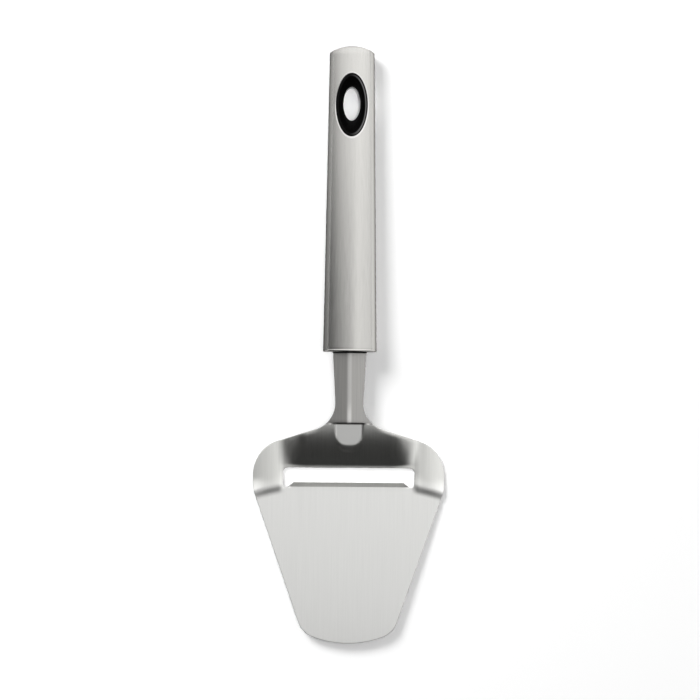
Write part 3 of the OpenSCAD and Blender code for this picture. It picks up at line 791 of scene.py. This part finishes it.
def brushed_stainless():
    """Stainless sheet brushed lengthwise: faint long lines, a gloss that is wide across them and
    tight along them, and edges that darken where they turn away."""
    made, tree = material("brushed_stainless")
    place = add(tree, "TexCoord").outputs["Object"]
    # Real brush lines are about 0.05 mm apart. They are drawn 0.25 mm wide and 50 mm long, so that
    # they show.
    lines = add(tree, "Mapping", {
        "Vector": place, "Scale": (1 / (0.25 * MM), 1 / (50 * MM), 1 / (0.25 * MM))})
    brush = add(tree, "TexNoise", {"Vector": lines, "Scale": 1.0, "Detail": 3.0})
    steel = add(tree, "ValToRGB", {"Fac": brush}, stops=shades("#a6a5a2", "#acaba8"))
    # Painted highlight: the steel is lighter in a band about half a millimetre wide round the black
    # ring's oval
    out = oval_reach(tree, place, EYE_ROW_Y, EYE_HALF_W, EYE_HALF_LEN)
    edge = add(tree, "MapRange", {"Value": out, "From Min": 1.09, "From Max": 1.04}, **SOFT)
    colour = add(tree, "Mix", {"Factor": edge, MIX_A: steel, MIX_B: linear("#bcbbb9")}, **COLOURS)
    rough = add(tree, "MapRange", {
        "Value": brush, "From Min": NOISE_LOW, "From Max": NOISE_HIGH,
        "To Min": 0.18, "To Max": 0.23})
    bump = add(tree, "Bump", {"Height": brush, "Strength": 0.05, "Distance": 0.02 * MM})
    across = add(tree, "Tangent", direction_type="RADIAL", axis="Y")
    shader = add(tree, "BsdfPrincipled", {
        "Base Color": colour.outputs[MIX_OUT], "Metallic": 1.0, "Roughness": rough,
        "Anisotropic": 0.6, "Specular Tint": linear("#404040"), "Tangent": across, "Normal": bump})
    add(tree, "OutputMaterial", {"Surface": shader})
    return made


def satin_stainless():
    """Ground stainless sheet: an even satin on the plate, painted shade on arms and bar and,
    darker, on the neck, painted light on the tongue, and a painted highlight along the neck's
    ridge."""
    made, tree = material("satin_stainless")
    place = add(tree, "TexCoord").outputs["Object"]
    # Real satin lines are about 0.05 mm apart. They are drawn 0.3 mm wide and 25 mm long, so that
    # they show.
    lines = add(tree, "Mapping", {
        "Vector": place, "Scale": (1 / (0.3 * MM), 1 / (25 * MM), 1 / (3 * MM))})
    brush = add(tree, "TexNoise", {"Vector": lines, "Scale": 1.0, "Detail": 3.0})
    # Base colours of the plate, of arms and bar, and of the neck: the darker two are painted shade
    plate, bar, neck = [
        add(tree, "ValToRGB", {"Fac": brush}, stops=shades(*pair))
        for pair in (("#cacac8", "#cececc"), ("#b9b9b6", "#c1c1be"), ("#828180", "#8c8b88"))]
    spot = add(tree, "SeparateXYZ", {"Vector": place})
    along = spot.outputs["Y"]
    side = add(tree, "Math", {0: spot.outputs["X"]}, operation="ABSOLUTE")
    # Arms and bar begin about 56 mm in front of the tool's middle, and the neck about 31 mm
    on_bar = add(tree, "MapRange", {
        "Value": along, "From Min": -59 * MM, "From Max": -53 * MM}, **SOFT)
    on_neck = add(tree, "MapRange", {
        "Value": along, "From Min": -31.8 * MM, "From Max": -30.8 * MM}, **SOFT)
    # The tongue's painted light, a lighter base: half an oval, 5.8 mm to either side of the middle
    # and 10 mm long
    out = oval_reach(tree, place, -31.5, 5.8, 10)
    painted_light_tongue = add(tree, "MapRange", {"Value": out, "From Min": 1.1, "From Max": 0.85}, **SOFT)
    # The ridge's painted highlight, a lighter base: about 1 mm to either side of the middle, and
    # brightest at the neck's root
    painted_highlight_band = add(tree, "MapRange", {
        "Value": side, "From Min": 1.3 * MM, "From Max": 0.3 * MM}, **SOFT)
    root = add(tree, "MapRange", {
        "Value": along, "From Min": -21 * MM, "From Max": -28 * MM,
        "To Min": 0.5, "To Max": 1.0}, **SOFT)
    ridge = add(tree, "Math", {0: painted_highlight_band, 1: root}, operation="MULTIPLY")
    painted_ridge_highlight = add(tree, "Math", {0: ridge, 1: on_neck}, operation="MULTIPLY")
    colour = plate
    # Over the plate's own colour: painted shade on arms, bar and neck, a painted lighter tongue and
    # a painted highlight on the ridge
    for share, finish in ((on_bar, bar), (painted_light_tongue, linear("#d7d7d5")), (on_neck, neck),
                          (painted_ridge_highlight, linear("#bdbcba"))):
        mixed = add(tree, "Mix", {"Factor": share, MIX_A: colour, MIX_B: finish}, **COLOURS)
        colour = mixed.outputs[MIX_OUT]
    rough = add(tree, "MapRange", {
        "Value": brush, "From Min": NOISE_LOW, "From Max": NOISE_HIGH,
        "To Min": 0.29, "To Max": 0.33})
    bump = add(tree, "Bump", {"Height": brush, "Strength": 0.04, "Distance": 0.02 * MM})
    shader = add(tree, "BsdfPrincipled", {
        "Base Color": colour, "Metallic": 1.0, "Roughness": rough, "Normal": bump})
    add(tree, "OutputMaterial", {"Surface": shader})
    return made


def black_gloss_abs():
    """Black moulded ABS: deep black that mirrors little, a trace of moulding waviness, and a
    painted
    highlight: a lip on the right that mirrors far more."""
    made, tree = material("black_gloss_abs")
    place = add(tree, "TexCoord").outputs["Object"]
    # Moulding waves are about 4 mm long
    wave = add(tree, "TexNoise", {"Vector": place, "Scale": 1 / (4 * MM), "Detail": 2.0})
    colour = add(tree, "ValToRGB", {"Fac": wave}, stops=shades("#050505", "#090909"))
    rough = add(tree, "MapRange", {
        "Value": wave, "From Min": NOISE_LOW, "From Max": NOISE_HIGH,
        "To Min": 0.1, "To Max": 0.16})
    bump = add(tree, "Bump", {"Height": wave, "Strength": 0.05, "Distance": 0.05 * MM})
    # The painted highlight: a lip about half a millimetre wide along the middle of the ring's
    # crown, which mirrors strongly only on the right side
    lip_in = 0.75
    out = oval_reach(tree, place, EYE_ROW_Y, EYE_HALF_W - lip_in, EYE_HALF_LEN - lip_in)
    off = add(tree, "Math", {0: out, 1: 1.0}, operation="SUBTRACT")
    away = add(tree, "Math", {0: off}, operation="ABSOLUTE")
    lip = add(tree, "MapRange", {"Value": away, "From Min": 0.05, "From Max": 0.02}, **SOFT)
    spot = add(tree, "SeparateXYZ", {"Vector": place})
    right = add(tree, "MapRange", {
        "Value": spot.outputs["X"], "From Min": -1 * MM, "From Max": 4.5 * MM}, **SOFT)
    painted_highlight_band = add(tree, "Math", {0: lip, 1: right}, operation="MULTIPLY")
    mirror = add(tree, "MapRange", {"Value": painted_highlight_band, "To Min": 0.03, "To Max": 0.9})
    shader = add(tree, "BsdfPrincipled", {
        "Base Color": colour, "Roughness": rough, "IOR": 1.52, "Specular IOR Level": mirror,
        "Normal": bump})
    add(tree, "OutputMaterial", {"Surface": shader})
    return made


def grey_nylon():
    """Moulded grey nylon of the core: matt, with a fine grain from the mould, which is drawn 0.6 mm
    wide so that it shows."""
    made, tree = material("grey_nylon")
    place = add(tree, "TexCoord").outputs["Object"]
    grain = add(tree, "TexNoise", {"Vector": place, "Scale": 1 / (0.6 * MM), "Detail": 3.0})
    colour = add(tree, "ValToRGB", {"Fac": grain}, stops=shades("#525456", "#5c5e60"))
    bump = add(tree, "Bump", {"Height": grain, "Strength": 0.2, "Distance": 0.05 * MM})
    shader = add(tree, "BsdfPrincipled", {
        "Base Color": colour, "Roughness": 0.6, "IOR": 1.53, "Normal": bump})
    add(tree, "OutputMaterial", {"Surface": shader})
    return made


def turned_rivet_steel():
    """Plain turned rivet steel: a half-dull grey with fine tool marks, which are drawn 0.3 mm wide
    so that they show."""
    made, tree = material("turned_rivet_steel")
    place = add(tree, "TexCoord").outputs["Object"]
    mark = add(tree, "TexNoise", {"Vector": place, "Scale": 1 / (0.3 * MM), "Detail": 3.0})
    colour = add(tree, "ValToRGB", {"Fac": mark}, stops=shades("#9d9d9c", "#acacab"))
    rough = add(tree, "MapRange", {
        "Value": mark, "From Min": NOISE_LOW, "From Max": NOISE_HIGH,
        "To Min": 0.3, "To Max": 0.42})
    shader = add(tree, "BsdfPrincipled", {
        "Base Color": colour, "Metallic": 1.0, "Roughness": rough})
    add(tree, "OutputMaterial", {"Surface": shader})
    return made


def white_table():
    """Matt white lacquer of the table: the camera and the reflections see it a little lifted, as
    white, and it keeps the soft shadow."""
    made, tree = material("white_table")
    path = add(tree, "LightPath")
    seen = path.outputs["Is Camera Ray"]
    for ray in ("Is Glossy Ray", "Is Transmission Ray"):
        seen = add(tree, "Math", {0: seen, 1: path.outputs[ray]}, operation="MAXIMUM")
    lift = add(tree, "Math", {0: seen, 1: 0.1}, operation="MULTIPLY")
    shader = add(tree, "BsdfPrincipled", {
        "Base Color": linear("#fafafa"), "Roughness": 0.9, "Specular IOR Level": 0.0,
        "Emission Color": linear("#ffffff"), "Emission Strength": lift})
    add(tree, "OutputMaterial", {"Surface": shader})
    return made


# ---- The pieces ----------------------------------------------------------------------------------
handle_steel, head_steel, black = brushed_stainless(), satin_stainless(), black_gloss_abs()
pressed_head(head_steel)
half_shell("front_shell", 1, handle_steel, "handle_front_shell")
half_shell("back_shell", -1, handle_steel, "handle_back_shell")
butt_plate(handle_steel)
eyelet("front_eyelet", 1, black, "eyelet_front")
eyelet("back_eyelet", -1, black, "eyelet_back")
for node, finish in (("mouth_plug", black), ("tang_core", grey_nylon()),
                     ("tang_rivets", turned_rivet_steel())):
    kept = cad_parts[node]
    kept.data.materials.clear()
    kept.data.materials.append(finish)

# ---- Table and cards, in metres ------------------------------------------------------------------
TABLE_REACH, TABLE_Z = 8.0, -0.00002
CARD_X0, CARD_X1, CARD_Y0, CARD_Y1 = 0.0125, 0.2, -0.01, 0.13
CARD_MOUTH_Y, CARD_BUTT_Y = 0.0, 0.115


def flat_sheet(name, corners, finish):
    mesh = bpy.data.meshes.new(name)
    mesh.from_pydata(corners, [], [(0, 1, 2, 3)])
    mesh.materials.append(finish)
    made = bpy.data.objects.new(name, mesh)
    bpy.context.scene.collection.objects.link(made)
    return made


def mirror_card(name, corners, near_mouth, near_butt):
    """A card that only the metal's mirror images show. Its brightness goes from one value at the
    handle's mouth to another at the butt."""
    made, tree = material(name)
    spot = add(tree, "SeparateXYZ", {"Vector": add(tree, "TexCoord").outputs["Object"]})
    power = add(tree, "MapRange", {
        "Value": spot.outputs["Y"], "From Min": CARD_MOUTH_Y, "From Max": CARD_BUTT_Y,
        "To Min": near_mouth, "To Max": near_butt})
    glow = add(tree, "Emission", {"Color": linear("#ffffff"), "Strength": power})
    add(tree, "OutputMaterial", {"Surface": glow})
    card = flat_sheet(name, corners, made)
    card.visible_camera = card.visible_diffuse = False
    card.visible_transmission = card.visible_shadow = False


floor = flat_sheet("table", [(x * TABLE_REACH, y * TABLE_REACH, TABLE_Z) for x, y in (
    (-1, -1), (1, -1), (1, 1), (-1, 1))], white_table())

# Two cards on the table beside the handle, and a black one beyond the free end, which the rise
# behind the slot mirrors
for name, side, near_mouth, near_butt in (("dim_card_left", -1, 0.45, 0.9),
                                          ("white_card_right", 1, 1.6, 1.7)):
    mirror_card(name, [(side * x, y, 0) for x, y in (
        (CARD_X0, CARD_Y0), (CARD_X1, CARD_Y0), (CARD_X1, CARD_Y1), (CARD_X0, CARD_Y1))],
        near_mouth, near_butt)
mirror_card("black_card_at_free_end", (
    (-0.2, -0.138, 0.002), (0.26, -0.138, 0.002), (0.28, -0.15, 0.182), (-0.22, -0.15, 0.182)),
    0.03, 0.03)


# ---- Lamps, studio and camera --------------------------------------------------------------------
def lamp(name, kind, place, aim, **settings):
    """A lamp that lights the table and the matt surfaces. The metal mirrors the studio instead."""
    light = bpy.data.lights.new(name, kind)
    for setting, value in settings.items():
        setattr(light, setting, value)
    made = bpy.data.objects.new(name, light)
    made.location = place
    made.rotation_euler = (Vector(aim) - made.location).to_track_quat("-Z", "Y").to_euler()
    made.visible_camera = made.visible_glossy = made.visible_transmission = False
    bpy.context.scene.collection.objects.link(made)


lamp("key_from_upper_left", "AREA", (-0.6, 0.68, 0.85), (0, 0, 0),
     shape="DISK", size=0.6, energy=12.5)
lamp("light_from_above", "AREA", (0.12, -0.06, 1.4), (0, 0, 0),
     shape="DISK", size=0.5, energy=5.5)
# A narrow lamp over the eye, a little from the right, so that the table shows white through it
lamp("light_through_eye", "SPOT", (0.07, 0.04, 0.8), (0, 0.0968, 0.007),
     energy=26.0, spot_size=math.radians(1.0), spot_blend=0.3, shadow_soft_size=0.01)
# A narrow lamp over the slot, a little from the free end, so that the table shows white right up
# to the bar
lamp("light_through_slot", "AREA", (0, -0.1034, 0.3), (0, -0.0505, 0),
     shape="RECTANGLE", size=0.054, size_y=0.004, energy=0.0006, spread=math.radians(3))

# The studio that the metal mirrors, by the direction looked in, where -1 to 1 is written as 0 to 1.
# Overhead it goes from dim at the left to bright at the right, and towards the butt it is bright
# all round. A dark band lies part of the way down to the free end, higher up at the sides, and low
# behind the butt it is dim. The values are halves, because the metal sees them at strength 2.
OVERHEAD = (
    (0.0, 0.07), (0.056, 0.1), (0.149, 0.16), (0.238, 0.23), (0.32, 0.285), (0.43, 0.38),
    (0.5, 0.42), (0.571, 0.52), (0.642, 0.72), (0.72, 0.8), (0.85, 0.74), (0.97, 0.74),
    (1.0, 0.72))
TOWARDS_BUTT = (
    (0.0, 0.6), (0.056, 0.7), (0.149, 0.84), (0.32, 0.93), (0.5, 1.0), (0.7, 1.0), (0.85, 1.0),
    (0.97, 0.92), (1.0, 0.86))
BUTT_SHARE = ((0.54, 0.0), (0.578, 1.0))
FREE_END_TO_BUTT = (
    (0.0, 0.6), (0.2, 0.45), (0.25, 0.25), (0.29, 0.38), (0.325, 0.8), (0.37, 0.97), (0.42, 1.0),
    (0.65, 1.0), (1.0, 0.12))
BAND_SLANT, MIRRORED_POWER, MATT_POWER = -0.25, 2.0, 0.4

world = bpy.data.worlds.new("studio")
bpy.context.scene.world = world
world.use_nodes = True
sky = world.node_tree
sky.nodes.clear()
way = add(sky, "SeparateXYZ", {"Vector": add(sky, "TexCoord").outputs["Generated"]})
aside = add(sky, "Math", {0: way.outputs["X"]}, operation="ABSOLUTE")
slant = add(sky, "Math", {0: aside, 1: BAND_SLANT, 2: way.outputs["Y"]}, operation="MULTIPLY_ADD")
right, ahead, front = [
    add(sky, "MapRange", {"Value": value, "From Min": -1.0, "From Max": 1.0})
    for value in (way.outputs["X"], way.outputs["Y"], slant)]
overhead, towards_butt, butt_share, fade = [
    add(sky, "ValToRGB", {"Fac": value}, stops=stops)
    for value, stops in ((right, OVERHEAD), (right, TOWARDS_BUTT), (ahead, BUTT_SHARE),
                         (front, FREE_END_TO_BUTT))]
blend = add(sky, "Mix", {"Factor": butt_share, MIX_A: overhead, MIX_B: towards_butt}, **COLOURS)
lit = add(sky, "Mix", {"Factor": 1.0, MIX_A: blend.outputs[MIX_OUT], MIX_B: fade},
          blend_type="MULTIPLY", **COLOURS)
power = add(sky, "MapRange", {
    "Value": add(sky, "LightPath").outputs["Is Diffuse Ray"],
    "To Min": MIRRORED_POWER, "To Max": MATT_POWER})
back = add(sky, "Background", {"Color": lit.outputs[MIX_OUT], "Strength": power})
add(sky, "OutputWorld", {"Surface": back})

# Straight down on the tool, with the butt at the top and half a degree of roll
CAMERA_X, CAMERA_Y, CAMERA_HEIGHT, CAMERA_ROLL = 0.0001, -0.0016, 1.1, math.radians(0.49)
FRAME_WIDTH, FRAME_LEVEL = 0.2805, 0.007
lens = bpy.data.cameras.new("camera")
lens.sensor_width = 36.0
lens.lens = lens.sensor_width * (CAMERA_HEIGHT - FRAME_LEVEL) / FRAME_WIDTH
lens.clip_start, lens.clip_end = 0.05, 50.0
camera = bpy.data.objects.new("camera", lens)
camera.location = (CAMERA_X, CAMERA_Y, CAMERA_HEIGHT)
camera.rotation_euler = (0, 0, CAMERA_ROLL)
bpy.context.scene.collection.objects.link(camera)
bpy.context.scene.camera = camera
bpy.context.scene.view_settings.view_transform = "Standard"
